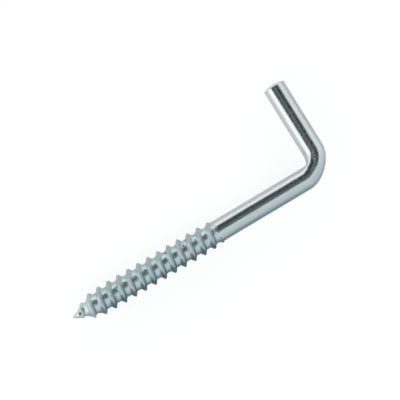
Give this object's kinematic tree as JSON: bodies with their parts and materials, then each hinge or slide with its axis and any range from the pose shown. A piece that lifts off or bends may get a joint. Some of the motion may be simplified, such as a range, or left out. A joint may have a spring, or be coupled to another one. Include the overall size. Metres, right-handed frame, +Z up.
{
  "type": "screw hook",
  "caption": "Square-bent screw hook of round zinc-plated wire: a rolled wood thread with a gimlet point, a plain shank and a straight arm bent out of its end.",
  "frame": {"origin": "on the shank's axis at the end of the thread's run-out, where the surface of the wood is when the hook is screwed home", "axes": "+X along the shank from the point towards the bend, +Y the way the arm stands out of the shank, +Z up out of the plane of the hook as it lies flat"},
  "size_m": [0.0789, 0.0291, 0.0074],
  "materials": {
    "zinc_plate": "bright zinc plating with a thin clear blue passivation over drawn steel wire"
  },
  "bodies": {
    "root": {"screw_hook": "zinc_plate"}
  },
  "joints": []
}
